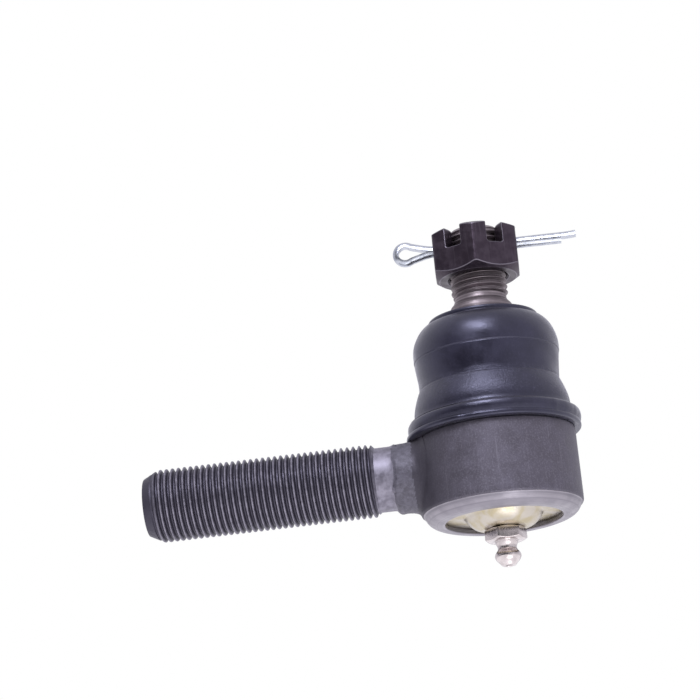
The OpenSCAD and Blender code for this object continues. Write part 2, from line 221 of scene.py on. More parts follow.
# ---------------------------------------------------------------- finishes
def forging_finish():
    """Drop-forged carbon steel, shot-blasted and phosphated: grey, matt, faintly mottled, with drag marks down
    the wall."""
    made, t, s = new_finish("phosphated_forging", 0.62, 0.52)
    at = add(t, "ShaderNodeTexCoord").outputs["Object"]
    # blast grain 0.4 mm, scale mottle 3 mm, drag marks 0.6 mm wide and 12 mm long
    grain = add(t, NOISE, {"Vector": at, "Scale": 2400.0, "Detail": 4.0, "Roughness": 0.65})
    mottle = add(t, NOISE, {"Vector": at, "Scale": 330.0, "Detail": 5.0, "Roughness": 0.6})
    long_way = add(t, "ShaderNodeMapping", {"Vector": at, "Scale": (1.0, 1.0, 0.05)})
    drag = add(t, NOISE, {"Vector": long_way, "Scale": 1500.0, "Detail": 3.0, "Roughness": 0.6})
    speck = add(t, "ShaderNodeTexVoronoi", {"Vector": at, "Scale": 420.0, "Randomness": 1.0})
    rare = add(t, MATH, {0: speck.outputs["Color"], 1: 0.90}, operation="GREATER_THAN")
    dot = add(t, RANGE, {0: speck.outputs["Distance"], 1: 0.14, 2: 0.06}, **EASED)
    fleck = add(t, MATH, {0: rare, 1: dot}, operation="MULTIPLY")
    tone = add(t, MIX, {0: add(t, RANGE, {0: mottle, 1: 0.3, 2: 0.75}, **EASED), 6: paint("#4f4b55"),
        7: paint("#585460")}, data_type="RGBA")
    tone = add(t, MIX, {0: add(t, RANGE, {0: grain, 1: 0.46, 2: 0.68, 3: 0.0, 4: 0.35}, **EASED), 6: tone.outputs[2],
        7: paint("#77737f")}, data_type="RGBA")
    tone = add(t, MIX, {0: add(t, RANGE, {0: drag, 1: 0.55, 2: 0.75, 3: 0.0, 4: 0.16}, **EASED), 6: tone.outputs[2],
        7: paint("#8a8692")}, data_type="RGBA")
    # painted shade in the corner by the neck: darker, growing from 7 mm to 17.5 mm towards the shank
    painted_neck_shade = add(t, RANGE, {0: add(t, "ShaderNodeSeparateXYZ", {0: at}).outputs["X"], 1: -0.007, 2: -0.0175, 3: 0.0,
        4: 0.72}, **EASED)
    tone = add(t, MIX, {0: painted_neck_shade, 6: tone.outputs[2], 7: paint("#35323b")}, data_type="RGBA")
    tone = add(t, MIX, {0: fleck, 6: tone.outputs[2], 7: paint("#a9a6b0")}, data_type="RGBA")
    t.links.new(tone.outputs[2], s.inputs["Base Color"])
    t.links.new(add(t, RANGE, {0: mottle, 1: 0.3, 2: 0.7, 3: 0.46, 4: 0.58}, **EASED).outputs[0], s.inputs["Roughness"])
    rough = add(t, MATH, {0: grain, 1: 0.6, 2: mottle}, operation="MULTIPLY_ADD")
    bump = add(t, BUMP, {"Height": rough, "Strength": 0.55, "Distance": 0.00008})
    t.links.new(bump.outputs[0], s.inputs["Normal"])
    return made


def collar_finish():
    """The as-forged neck: scale left on, coarser pits than the blasted wall."""
    made, t, s = new_finish("as_forged_neck", 0.45, 0.55)
    at = add(t, "ShaderNodeTexCoord").outputs["Object"]
    pits = add(t, NOISE, {"Vector": at, "Scale": 900.0, "Detail": 6.0, "Roughness": 0.7})
    scale = add(t, NOISE, {"Vector": at, "Scale": 260.0, "Detail": 3.0})
    tone = add(t, MIX, {0: add(t, RANGE, {0: pits, 1: 0.36, 2: 0.66}, **EASED), 6: paint("#48454f"),
        7: paint("#5f5c68")}, data_type="RGBA")
    tone = add(t, MIX, {0: add(t, RANGE, {0: scale, 1: 0.40, 2: 0.65, 3: 0.0, 4: 0.4}, **EASED), 6: tone.outputs[2],
        7: paint("#56535f")}, data_type="RGBA")
    t.links.new(tone.outputs[2], s.inputs["Base Color"])
    bump = add(t, BUMP, {"Height": pits, "Strength": 0.8, "Distance": 0.00018})
    t.links.new(bump.outputs[0], s.inputs["Normal"])
    return made


def thread_finish():
    """Rolled thread, phosphated: dark in the roots, crests rubbed bright."""
    made, t, s = new_finish("phosphated_rolled_thread", 0.7, 0.5)
    at = add(t, "ShaderNodeTexCoord").outputs["Object"]
    place = add(t, "ShaderNodeSeparateXYZ", {0: at})
    drop = add(t, MATH, {0: place.outputs["Z"], 1: -SHANK_Z * MM}, operation="ADD")
    across = add(t, "ShaderNodeCombineXYZ", {"X": place.outputs["Y"], "Y": drop})
    radius = add(t, "ShaderNodeVectorMath", {0: across}, operation="LENGTH").outputs["Value"]
    worn = add(t, RANGE, {0: radius, 1: (SHANK_R - 0.60) * MM, 2: (SHANK_R - 0.05) * MM}, **EASED)
    smooth_neck = add(t, RANGE, {0: place.outputs["X"], 1: -(THREAD_STOP - 0.1) * MM, 2: -(THREAD_STOP - 0.5) * MM},
        **EASED)
    crest = add(t, MATH, {0: worn, 1: smooth_neck}, operation="MAXIMUM")
    wear = add(t, NOISE, {"Vector": at, "Scale": 700.0, "Detail": 4.0, "Roughness": 0.6})
    rubbed = add(t, MATH, {0: crest, 1: add(t, RANGE, {0: wear, 1: 0.3, 2: 0.7, 3: 0.45, 4: 1.0}, **EASED)},
        operation="MULTIPLY")
    tone = add(t, MIX, {0: rubbed, 6: paint("#3f3c48"), 7: paint("#86828f")}, data_type="RGBA")
    t.links.new(tone.outputs[2], s.inputs["Base Color"])
    t.links.new(add(t, RANGE, {0: wear, 1: 0.3, 2: 0.7, 3: 0.44, 4: 0.58}, **EASED).outputs[0], s.inputs["Roughness"])
    bump = add(t, BUMP, {"Height": wear, "Strength": 0.25, "Distance": 0.00004})
    t.links.new(bump.outputs[0], s.inputs["Normal"])
    return made


def turned_finish(name, dark, light, metallic, roughness, groove_mm=0.35, depth=0.35):
    """Lathe-turned steel: fine rings about the part's upright axis."""
    made, t, s = new_finish(name, metallic, roughness)
    at = add(t, "ShaderNodeTexCoord").outputs["Object"]
    place = add(t, "ShaderNodeSeparateXYZ", {0: at})
    flat = add(t, "ShaderNodeVectorMath", {0: at, 1: (1.0, 1.0, 0.0)}, operation="MULTIPLY")
    radius = add(t, "ShaderNodeVectorMath", {0: flat}, operation="LENGTH").outputs["Value"]
    rings = add(t, "ShaderNodeCombineXYZ", {"X": radius, "Z": place.outputs["Z"]})
    lines = add(t, NOISE, {"Vector": rings, "Scale": 1000.0 / groove_mm, "Detail": 3.0, "Roughness": 0.6})
    cloud = add(t, NOISE, {"Vector": at, "Scale": 260.0, "Detail": 4.0})
    tone = add(t, MIX, {0: add(t, RANGE, {0: lines, 1: 0.35, 2: 0.65}, **EASED), 6: paint(dark), 7: paint(light)},
        data_type="RGBA")
    tone = add(t, MIX, {0: add(t, RANGE, {0: cloud, 1: 0.35, 2: 0.7, 3: 0.0, 4: 0.5}, **EASED), 6: tone.outputs[2],
        7: paint(dark)}, data_type="RGBA")
    t.links.new(tone.outputs[2], s.inputs["Base Color"])
    t.links.new(add(t, RANGE, {0: cloud, 1: 0.3, 2: 0.7, 3: roughness - 0.06, 4: roughness + 0.08}, **EASED).outputs[0],
        s.inputs["Roughness"])
    bump = add(t, BUMP, {"Height": lines, "Strength": depth, "Distance": 0.00004})
    t.links.new(bump.outputs[0], s.inputs["Normal"])
    return made


def rubber_finish():
    """Moulded chloroprene: blue-black, satin, with a bloom of light speckles all over, more of them in the waist band,
    where they also paint the highlight.
    """
    made, t, s = new_finish("moulded_rubber", 0.0, 0.34, IOR=1.64, **{"Specular Tint": paint("#dedeff"),
        "Sheen Weight": 0.22, "Sheen Roughness": 0.3, "Sheen Tint": paint("#e6e4f4")})
    at = add(t, "ShaderNodeTexCoord").outputs["Object"]
    cloud = add(t, NOISE, {"Vector": at, "Scale": 160.0, "Detail": 4.0, "Roughness": 0.6})
    bloom = add(t, NOISE, {"Vector": at, "Scale": 1900.0, "Detail": 5.0, "Roughness": 0.75})
    height = add(t, "ShaderNodeSeparateXYZ", {0: at}).outputs["Z"]
    waist = add(t, MATH, {0: add(t, RANGE, {0: height, 1: 0.0095, 2: 0.0125}, **EASED),
        1: add(t, RANGE, {0: height, 1: 0.0190, 2: 0.0175}, **EASED)}, operation="MULTIPLY")
    # bloom speckle all over, more in the waist band: real bloom, and in that band a painted highlight
    bloom_and_highlight_band = add(t, RANGE, {0: waist, 1: 0.0, 2: 1.0, 3: 0.2, 4: 0.48}, **EASED)
    dust_and_highlight = add(t, MATH, {0: add(t, RANGE, {0: bloom, 1: 0.52, 2: 0.66}, **EASED), 1: bloom_and_highlight_band}, operation="MULTIPLY")
    tone = add(t, MIX, {0: add(t, RANGE, {0: cloud, 1: 0.35, 2: 0.7}, **EASED), 6: paint("#0e0c17"),
        7: paint("#171523")}, data_type="RGBA")
    tone = add(t, MIX, {0: dust_and_highlight, 6: tone.outputs[2], 7: paint("#3d3a4b")}, data_type="RGBA")
    t.links.new(tone.outputs[2], s.inputs["Base Color"])
    satin = add(t, RANGE, {0: cloud, 1: 0.3, 2: 0.7, 3: 0.28, 4: 0.40}, **EASED)
    t.links.new(add(t, MATH, {0: waist, 1: 0.06, 2: satin}, operation="MULTIPLY_ADD").outputs[0], s.inputs["Roughness"])
    pebble = add(t, MATH, {0: bloom, 1: bloom_and_highlight_band}, operation="MULTIPLY")
    bump = add(t, BUMP, {"Height": pebble, "Strength": 0.9, "Distance": 0.00022})
    t.links.new(bump.outputs[0], s.inputs["Normal"])
    return made


def oxide_finish():
    """Black oxide on cold-formed steel: near black, oiled, thin edges painted lighter, partly rubbed oxide and partly a
    painted highlight.
    """
    made, t, s = new_finish("black_oxide", 0.85, 0.38)
    at = add(t, "ShaderNodeTexCoord").outputs["Object"]
    cloud = add(t, NOISE, {"Vector": at, "Scale": 420.0, "Detail": 5.0, "Roughness": 0.6})
    drawn = add(t, "ShaderNodeMapping", {"Vector": at, "Scale": (1.0, 1.0, 0.06)})
    marks = add(t, NOISE, {"Vector": drawn, "Scale": 1900.0, "Detail": 3.0})
    edge = add(t, "ShaderNodeAttribute", attribute_name="rubbed_and_highlit_edge").outputs["Fac"]
    tone = add(t, MIX, {0: add(t, RANGE, {0: cloud, 1: 0.35, 2: 0.7}, **EASED), 6: paint("#382f39"),
        7: paint("#443b45")}, data_type="RGBA")
    tone = add(t, MIX, {0: add(t, RANGE, {0: marks, 1: 0.5, 2: 0.75, 3: 0.0, 4: 0.3}, **EASED), 6: tone.outputs[2],
        7: paint("#5a525b")}, data_type="RGBA")
    # edges lighter: rubbed oxide, and a painted highlight along them
    tone = add(t, MIX, {0: edge, 6: tone.outputs[2], 7: paint("#68626c")}, data_type="RGBA")
    t.links.new(tone.outputs[2], s.inputs["Base Color"])
    t.links.new(add(t, RANGE, {0: cloud, 1: 0.3, 2: 0.7, 3: 0.32, 4: 0.46}, **EASED).outputs[0], s.inputs["Roughness"])
    bump = add(t, BUMP, {"Height": marks, "Strength": 0.2, "Distance": 0.00004})
    t.links.new(bump.outputs[0], s.inputs["Normal"])
    return made


def plated_finish(name, base, tint, roughness, size_mm=3.0, strength=0.5):
    """Thin plating on pressed or turned steel: bright, with patches of another tint and light scuffs."""
    made, t, s = new_finish(name, 1.0, roughness)
    at = add(t, "ShaderNodeTexCoord").outputs["Object"]
    patch = add(t, NOISE, {"Vector": at, "Scale": 1000.0 / size_mm, "Detail": 3.0, "Distortion": 0.6})
    scuff = add(t, NOISE, {"Vector": at, "Scale": 1600.0, "Detail": 5.0, "Roughness": 0.7})
    tone = add(t, MIX, {0: add(t, RANGE, {0: patch, 1: 0.38, 2: 0.66, 3: 0.0, 4: strength}, **EASED), 6: paint(base),
        7: paint(tint)}, data_type="RGBA")
    t.links.new(tone.outputs[2], s.inputs["Base Color"])
    t.links.new(add(t, RANGE, {0: scuff, 1: 0.3, 2: 0.75, 3: roughness - 0.05, 4: roughness + 0.14},
        **EASED).outputs[0], s.inputs["Roughness"])
    bump = add(t, BUMP, {"Height": scuff, "Strength": 0.25, "Distance": 0.00005})
    t.links.new(bump.outputs[0], s.inputs["Normal"])
    return made


def sintered_finish():
    """Sintered bronze bearing shell: dull brown-yellow, porous."""
    made, t, s = new_finish("sintered_bronze", 0.7, 0.55)
    at = add(t, "ShaderNodeTexCoord").outputs["Object"]
    pore = add(t, "ShaderNodeTexVoronoi", {"Vector": at, "Scale": 2200.0})
    tone = add(t, MIX, {0: add(t, RANGE, {0: pore.outputs["Distance"], 1: 0.1, 2: 0.5}, **EASED), 6: paint("#4a3c28"),
        7: paint("#a38a5c")}, data_type="RGBA")
    t.links.new(tone.outputs[2], s.inputs["Base Color"])
    bump = add(t, BUMP, {"Height": pore.outputs["Distance"], "Strength": 0.4, "Distance": 0.00006})
    t.links.new(bump.outputs[0], s.inputs["Normal"])
    return made


forging, collar, thread_steel = forging_finish(), collar_finish(), thread_finish()
rolled_lip = turned_finish("turned_crimp_lip", "#77737c", "#8f8a92", 0.6, 0.40, 0.6, 0.2)
turned_bore = turned_finish("turned_seat_steel", "#5d5b60", "#87858b", 0.9, 0.35)
stud_steel = turned_finish("ground_stud_steel", "#61595d", "#988e92", 0.95, 0.5, 0.5, 0.7)
rubber, black_oxide, sintered = rubber_finish(), oxide_finish(), sintered_finish()
yellow_zinc = plated_finish("yellow_zinc_pressing", "#b5aea4", "#a19369", 0.33, 4.0, 0.6)
nickel = plated_finish("nickel_plate", "#c9c1c0", "#a89f9f", 0.2, 2.5, 0.6)
bright_zinc = plated_finish("bright_zinc_wire", "#b9bcc4", "#8f95a2", 0.3, 2.0, 0.5)
spring_steel = plated_finish("spring_wire", "#7e8088", "#55565e", 0.3, 1.5, 0.5)
polished_ball = plated_finish("polished_ball_steel", "#cfd0d4", "#b9bac0", 0.08, 3.0, 0.3)
ring_steel = plated_finish("ring_steel", "#85868c", "#5f6066", 0.4, 2.0, 0.5)


# ---------------------------------------------------------------- rule-made pieces
def ins(tree, *sockets):
    for name, kind, value in sockets:
        made = tree.interface.new_socket(name, in_out="INPUT", socket_type="NodeSocket" + kind)
        if value is not None:
            made.default_value = value
    tree.interface.new_socket("Geometry", in_out="OUTPUT", socket_type="NodeSocketGeometry")
    return tree.nodes.new("NodeGroupInput").outputs


def thread_tree():
    """A screw thread wrapped from a flat grid: each column starts a little further on, so the rows follow the helix."""
    t = bpy.data.node_groups.new("screw_thread", "GeometryNodeTree")
    g = ins(t, ("Radius", "Float", 9.0), ("Depth", "Float", 0.9), ("Pitch", "Float", 1.5), ("Start", "Float", 0.0),
        ("End", "Float", 10.0),
            ("Start radius", "Float", 8.0), ("Start slope", "Float", 1.0), ("End radius", "Float", 8.0),
            ("End slope", "Float", 1.0),
            ("Columns", "Int", 96), ("Rows a turn", "Int", 10), ("Finish", "Material", None))
    turns = add(t, MATH, {0: add(t, MATH, {0: add(t, MATH, {0: add(t, MATH, {0: g["End"], 1: g["Start"]},
        operation="SUBTRACT"), 1: g["Pitch"]}, operation="DIVIDE")}, operation="CEIL"), 1: 2.0}, operation="ADD")
    rows = add(t, MATH, {0: turns, 1: g["Rows a turn"]}, operation="MULTIPLY")
    grid = add(t, "GeometryNodeMeshGrid", {"Size X": 1.0, "Size Y": 1.0, "Vertices X": add(t, MATH,
        {0: g["Columns"], 1: 1.0}, operation="ADD"), "Vertices Y": add(t, MATH, {0: rows, 1: 1.0}, operation="ADD")})
    flat = add(t, "ShaderNodeSeparateXYZ", {0: add(t, "GeometryNodeInputPosition")})
    u = add(t, MATH, {0: flat.outputs["X"], 1: 0.5}, operation="ADD")
    v = add(t, MATH, {0: flat.outputs["Y"], 1: 0.5}, operation="ADD")
    along = add(t, MATH, {0: add(t, MATH, {0: v, 1: turns, 2: u}, operation="MULTIPLY_ADD"), 1: 1.5},
        operation="SUBTRACT")
    place = add(t, MATH, {0: along, 1: g["Pitch"], 2: g["Start"]}, operation="MULTIPLY_ADD")
    kept = add(t, MATH, {0: add(t, MATH, {0: place, 1: g["Start"]}, operation="MAXIMUM"), 1: g["End"]},
        operation="MINIMUM")
    # crest flat, flank, root flat, flank, from the place in one turn
    phase = add(t, MATH, {0: add(t, MATH, {0: add(t, MATH, {0: v, 1: turns}, operation="MULTIPLY"), 1: 0.0001},
        operation="ADD")}, operation="FRACT")
    near = add(t, MATH, {0: add(t, MATH, {0: phase, 1: 0.5}, operation="SUBTRACT")}, operation="ABSOLUTE")
    cut = add(t, RANGE, {0: near, 1: 0.125, 2: 0.42, 3: 1.0, 4: 0.0}, interpolation_type="LINEAR")
    worm = add(t, MATH, {0: g["Radius"], 1: add(t, MATH, {0: cut, 1: g["Depth"]}, operation="MULTIPLY")},
        operation="SUBTRACT")
    rise = add(t, MATH, {0: add(t, MATH, {0: kept, 1: g["Start"]}, operation="SUBTRACT"), 1: g["Start slope"],
        2: g["Start radius"]}, operation="MULTIPLY_ADD")
    fall = add(t, MATH, {0: add(t, MATH, {0: g["End"], 1: kept}, operation="SUBTRACT"), 1: g["End slope"],
        2: g["End radius"]}, operation="MULTIPLY_ADD")
    r = add(t, MATH, {0: add(t, MATH, {0: worm, 1: rise}, operation="MINIMUM"), 1: fall}, operation="MINIMUM")
    turn = add(t, MATH, {0: u, 1: TAU}, operation="MULTIPLY")
    place3 = add(t, "ShaderNodeCombineXYZ", {"X": add(t, MATH, {0: r, 1: add(t, MATH, {0: turn}, operation="COSINE")},
        operation="MULTIPLY"), "Y": add(t, MATH, {0: r, 1: add(t, MATH, {0: turn}, operation="SINE")},
        operation="MULTIPLY"), "Z": kept})
    bent = add(t, "GeometryNodeSetPosition", {"Geometry": grid.outputs["Mesh"], "Position": place3})
    welded = add(t, "GeometryNodeMergeByDistance", {"Geometry": bent, "Distance": 0.0005})
    whole = add(t, "GeometryNodeRealizeInstances", {"Geometry": welded})
    done = add(t, "GeometryNodeSetMaterial", {"Geometry": whole, "Material": g["Finish"]})
    add(t, "NodeGroupOutput", {"Geometry": done})
    return t


def coil_tree():
    """A wire coil, its wire ends capped, wound about the upright axis."""
    t = bpy.data.node_groups.new("wire_coil", "GeometryNodeTree")
    g = ins(t, ("Coil radius", "Float", 5.0), ("Wire radius", "Float", 0.6), ("Foot", "Float", 0.0),
        ("Height", "Float", 4.0), ("Turns", "Float", 2.5),
            ("Steps a turn", "Int", 40), ("Finish", "Material", None))
    spiral = add(t, "GeometryNodeCurveSpiral", {"Resolution": g["Steps a turn"], "Rotations": g["Turns"],
        "Start Radius": g["Coil radius"], "End Radius": g["Coil radius"], "Height": g["Height"]})
    wire = add(t, "GeometryNodeCurvePrimitiveCircle", {"Resolution": 14, "Radius": g["Wire radius"]})
    tube = add(t, "GeometryNodeCurveToMesh", {"Curve": spiral, "Profile Curve": wire.outputs["Curve"],
        "Fill Caps": True})
    lifted = add(t, "GeometryNodeSetPosition", {"Geometry": tube, "Offset": add(t, "ShaderNodeCombineXYZ",
        {"Z": g["Foot"]})})
    whole = add(t, "GeometryNodeRealizeInstances", {"Geometry": lifted})
    done = add(t, "GeometryNodeSetMaterial", {"Geometry": whole, "Material": g["Finish"]})
    add(t, "NodeGroupOutput", {"Geometry": done})
    return t


def modified_mesh(thing):
    """A plain mesh of what the thing's modifiers make."""
    bpy.context.view_layer.update()
    return bpy.data.meshes.new_from_object(thing.evaluated_get(bpy.context.evaluated_depsgraph_get()))


def from_tree(name, tree, values):
    """The plain mesh, in mm, that a tree makes with those values for its named inputs."""
    holder = bpy.data.objects.new(name, bpy.data.meshes.new(name))
    bpy.context.scene.collection.objects.link(holder)
    step = holder.modifiers.new(name, "NODES")
    step.node_group = tree
    for item in tree.interface.items_tree:
        if item.item_type == "SOCKET" and item.in_out == "INPUT" and item.name in values:
            step[item.identifier] = values[item.name]
    mesh = modified_mesh(holder)
    bpy.data.objects.remove(holder)
    return mesh


def mesh_arrays(mesh):
    points = np.empty(len(mesh.vertices) * 3)
    mesh.vertices.foreach_get("co", points)
    return points.reshape(-1, 3), [tuple(p.vertices) for p in mesh.polygons]


def joined(*parts):
    verts, faces = [], []
    for points, quads in parts:
        base = sum(len(v) for v in verts)
        verts.append(np.asarray(points))
        faces += [tuple(i + base for i in q) for q in quads]
    return np.concatenate(verts), faces


thread_rule, coil_rule = thread_tree(), coil_tree()


# ---------------------------------------------------------------- forged socket and shank
def socket_shell():
    """The turned and bored socket body, one closed ring of wall."""
    opening = math.sqrt(BALL_R ** 2 - (BALL_R * 0.41) ** 2) + 0.45
    line = rounded([
        (14.3, -LIP_Z, 0.35), (16.5, -LIP_Z + 0.02, 1.5), (18.3, -LIP_Z + 0.95, 1.6), (19.22, -LIP_Z + 2.7, 0.35),
        (19.42, -LIP_Z + 2.75, 0.08),
        (SOCKET_R - 0.03, -LIP_Z + 3.15, 0.25), (SOCKET_R, -LIP_Z + 4.4, 0.6), (TOP_R, SHOULDER_Z, 0.5),
        (SPIGOT_R, SHOULDER_Z, 0.2), (SPIGOT_R, SPIGOT_TOP, 0.5), (opening + 2.9, SPIGOT_TOP, 0.3),
        (opening, BALL_R * 0.41, 0.2), (BORE_R - 1.5, BALL_R * 0.41, 0.3), (BORE_R, BALL_R * 0.41 - 1.5, 0.3),
        (BORE_R, -COVER_IN, 0.1), (16.02, -COVER_IN, 0.05), (16.02, -COVER_FACE + 0.02, 0.1),
        (14.45, -COVER_FACE + 0.02, 0.25)], closed=True)
    line = split_long(line, 1.3, closed=True)

    def uneven(r, z, a):
        wall = (r > 18.8) & (z > -LIP_Z + 2.4) & (z < SHOULDER_Z - 0.4)
        lip = (z < -LIP_Z + 2.5) & (r > 16.0)
        r = np.where(wall, r + waves(a, 3, (5, 9, 14), 0.03), r)
        r = np.where(lip, r + waves(a, 8, (3, 7, 12, 19), 0.035), r)
        return r, z
    return turned(line, SOCKET_SIDES, closed=True, shape=uneven)


def neck_and_shank(columns=120):
    """Rings from inside the socket wall, over the forged flare and collar, to the threaded shank and its flat end."""
    phi = np.arange(columns) / columns * TAU
    up, side = np.cos(phi), np.sin(phi)      # up is +Z, side is +Y
    axis_z = SHANK_Z - COLLAR_DROP
    # the flare is wide above, tight in front, behind and below
    relief_start, thread_start, end_r = COLLAR_END + 1.5, THREAD_STOP - 0.9, SHANK_R - 1.9
    flare = 2.0 + 3.1 * np.clip(up, 0, 1) ** 1.2 + 0.4 * np.clip(-up, 0, 1)
    rings = []

    def wall(rad):
        y, z = rad * side, axis_z + rad * up
        return np.stack([-np.sqrt(SOCKET_R ** 2 - y ** 2), y, z], -1)
    foot = wall(COLLAR_R + flare)
    end = wall(np.full(columns, COLLAR_R)) + np.stack([-flare * 1.05, 0 * flare, 0 * flare], -1)
    inner = foot + np.array([1.6, 0, 0])
    inner[:, 1] *= 0.9
    rings.append(inner)
    for k in np.linspace(0, 1, 15):
        rings.append(wall(COLLAR_R + flare * (1 - k) ** 2) + np.stack([0.07 * (1 - k) - flare * 1.05 * k * k, 0 * flare,
            0 * flare], -1))
    for x in np.linspace(0.12, 1, 9):
        ring = end.copy()
        ring[:, 0] = end[:, 0] * (1 - x) + x * -np.maximum(COLLAR_END - 0.7, -end[:, 0])
        rings.append(ring)
    # the collar ends in a rough step down to the turned relief
    for r, x, mid in ((COLLAR_R - 0.04, COLLAR_END - 0.35, 0.95), (COLLAR_R - 0.22, COLLAR_END, 0.8),
            (RELIEF_R + 0.22, COLLAR_END + 0.45, 0.35), (RELIEF_R + 0.05, COLLAR_END + 0.9, 0.0),
            (RELIEF_R, relief_start, 0.0)):
        z0 = SHANK_Z - COLLAR_DROP * mid
        ring = np.stack([np.full(columns, -x), r * side, z0 + r * up], -1)
        if mid > 0.3:
            ring[:, 0] += waves(phi, 5, (2, 3, 5, 8, 13), 0.28)
        rings.append(ring)
    rings = np.array(rings)
    # forged unevenness of flare and collar, fading at the wall and at the relief
    rng = np.random.default_rng(11)
    for j, ring in enumerate(rings[8:-3]):
        ease = min(1, j / 4)
        bump = sum(0.07 / math.sqrt(k) * np.sin(k * phi + rng.uniform(0, 0.9) + 0.5 * k + j * 0.35) for k in (2, 4, 7,
            11, 17))
        ring[:, 1] += ease * bump * side
        ring[:, 2] += ease * bump * up
    # the turned shoulder under the boot cuts the top of the flare flat, rising away from the socket
    rho = np.hypot(rings[..., 0], rings[..., 1])
    ceiling = SHOULDER_Z + 0.012 + np.clip((rho - 22.6) / 5.8, 0, 3) * 1.2
    rings[..., 2] = np.minimum(rings[..., 2], ceiling)
    # and nothing hangs below the rolled corner
    low = -LIP_Z + 3.0
    rings[..., 2] = np.where(rho < 21.0, np.maximum(rings[..., 2], low), rings[..., 2])
    # turned relief, then the thread, made about +Z and laid along -X, then the flat end
    relief = [np.stack([np.full(columns, -x), RELIEF_R * side, SHANK_Z + RELIEF_R * up], -1) for x in (relief_start,
        27.4, 28.5, thread_start)]
    thread = from_tree("shank_thread", thread_rule, {
        "Radius": SHANK_R, "Depth": 0.92, "Pitch": SHANK_PITCH, "Start": thread_start, "End": SHANK_REACH,
        "Start radius": RELIEF_R, "Start slope": 1.0,
        "End radius": end_r, "End slope": 0.52, "Columns": columns, "Rows a turn": 10})
    points, quads = mesh_arrays(thread)
    laid = np.stack([-points[:, 2], points[:, 1], SHANK_Z + points[:, 0]], -1)
    face = [np.stack([np.full(columns, -SHANK_REACH), r * side, SHANK_Z + r * up], -1) for r in (end_r, 6.4, 4.5, 2.5)]
    centre = len(face) * columns
    end_points = np.concatenate([np.array(face).reshape(-1, 3), [[-SHANK_REACH, 0, SHANK_Z]]])
    end_faces = grid_faces(len(face), columns) + fan(centre - columns, columns, centre)
    inner_end = rings[0].mean(0)
    neck_points = np.concatenate([rings.reshape(-1, 3), np.array(relief[1:]).reshape(-1, 3), [inner_end]])
    count = len(rings) + 3
    neck_faces = grid_faces(count, columns) + fan(0, columns, count * columns)
    return joined((neck_points, neck_faces), (laid, quads), (end_points, end_faces))


def socket_zones(centres):
    """0 forging, 1 rolled lip, 2 turned bore and seats, 3 neck, 4 relief and thread."""
    rho = np.hypot(centres[:, 0], centres[:, 1])
    zone = np.zeros(len(centres), int)
    zone[(rho < 19.3) & (centres[:, 2] < -LIP_Z + 2.74)] = 1
    zone[(rho < 17.3) & (centres[:, 2] > -LIP_Z + 0.6)] = 2
    zone[(centres[:, 0] < -20.3) & (centres[:, 0] > -COLLAR_END - 0.4)] = 3
    zone[centres[:, 0] <= -COLLAR_END - 0.4] = 4
    return zone


forged_socket = piece("forged_socket", *joined(socket_shell(), neck_and_shank()), [forging, rolled_lip, turned_bore,
    collar, thread_steel], "socket", socket_zones, sharp=34)
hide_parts("socket_housing")


# ---------------------------------------------------------------- boot
def boot_line():
    f, b, c = BOOT_FOOT, BOOT_TOP, CROWN_R
    outside = [
        (17.33, f, 0.1), (20.75, f, 0.2), (21.15, f + 0.3, 0.3), (21.2, f + 0.95, 0.3), (20.98, f + 1.3, 0.15),
        (21.12, f + 1.65, 0.2), (21.4, f + 2.7, 0.7),
        (21.2, f + 3.9, 0.5), (20.5, f + 4.4, 0.4), (19.35, f + 4.55, 0.35), (19.15, f + 5.3, 0.5),
        (19.15, f + 7.0, 1.0), (18.75, f + 8.8, 1.5), (18.05, f + 10.8, 1.8),
        (17.55, f + 12.1, 0.25), (17.3, f + 12.35, 0.2), (17.32, f + 14.2, 0.8), (17.6, f + 17.0, 1.5),
        (c - 0.12, f + 19.55, 0.3), (c - 0.2, f + 19.7, 0.1), (c, f + 19.9, 0.2),
        (c + 0.02, f + 22.4, 1.8), (c - 0.55, f + 24.8, 2.2), (c - 1.7, f + 26.9, 1.6), (c - 3.2, f + 28.35, 0.9),
        (c - 4.45, b - 1.15, 0.12), (c - 4.35, b - 0.45, 0.25), (c - 4.6, b, 0.25),
        (c - 5.4, b - 0.15, 0.3), (c - 6.0, b - 0.7, 0.4), (BIG_R + 1.9, b - 0.95, 0.3), (BIG_R + 0.95, b - 0.5, 0.2),
        (BIG_R + 0.35, b - 0.55, 0.2)]
    inside = [
        (BIG_R + 0.3, b - 4.2, 0.3), (BIG_R + 2.4, b - 4.4, 0.5), (c - 4.1, b - 3.4, 0.8), (c - 2.9, f + 24.4, 1.5),
        (c - 1.9, f + 21.0, 1.5), (15.6, f + 14.0, 1.5), (15.7, f + 11.0, 1.5), (16.9, f + 6.4, 0.8),
        (17.33, f + 4.2, 0.4)]
    return split_long(rounded(outside + inside, closed=True, steps=5), 0.9, closed=True)


def boot_uneven(r, z, a):
    """Rubber sits a little out of round; the lower bead carries a lip of flash round its shank side."""
    free = np.clip((z - BOOT_FOOT - 4) / 6, 0, 1) * np.clip((BOOT_TOP - 1.5 - z) / 4, 0, 1) * (r > 14)
    r = r + free * (waves(a, 21, (2, 3, 5), 0.10) + 0.03 * np.sin(9 * a + z))
    deg = np.degrees(a)
    flash = 1 / (1 + np.exp(-(deg - 150) / 4)) * 1 / (1 + np.exp((deg - 252) / 0.9))
    low = (z < BOOT_FOOT + 1.2) & (r > 20.3)
    r = np.where(low, r + 0.45 * flash + waves(a, 31, (7, 13, 22), 0.03), r)
    high = (z >= BOOT_FOOT + 1.2) & (z < BOOT_FOOT + 4.3) & (r > 20.3)
    ragged = 1 / (1 + np.exp(-(deg - 285) / 3)) * 1 / (1 + np.exp((deg - 352) / 3))
    r = np.where(high, r - 0.25 * flash + ragged * waves(a, 41, (23, 31, 43, 57), 0.12), r)
    return r, z


dust_boot = piece("rubber_dust_boot", *turned(boot_line(), BOOT_SIDES, closed=True, shape=boot_uneven), [rubber], None,
    sharp=50)
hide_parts("dust_boot")
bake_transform(dust_boot)


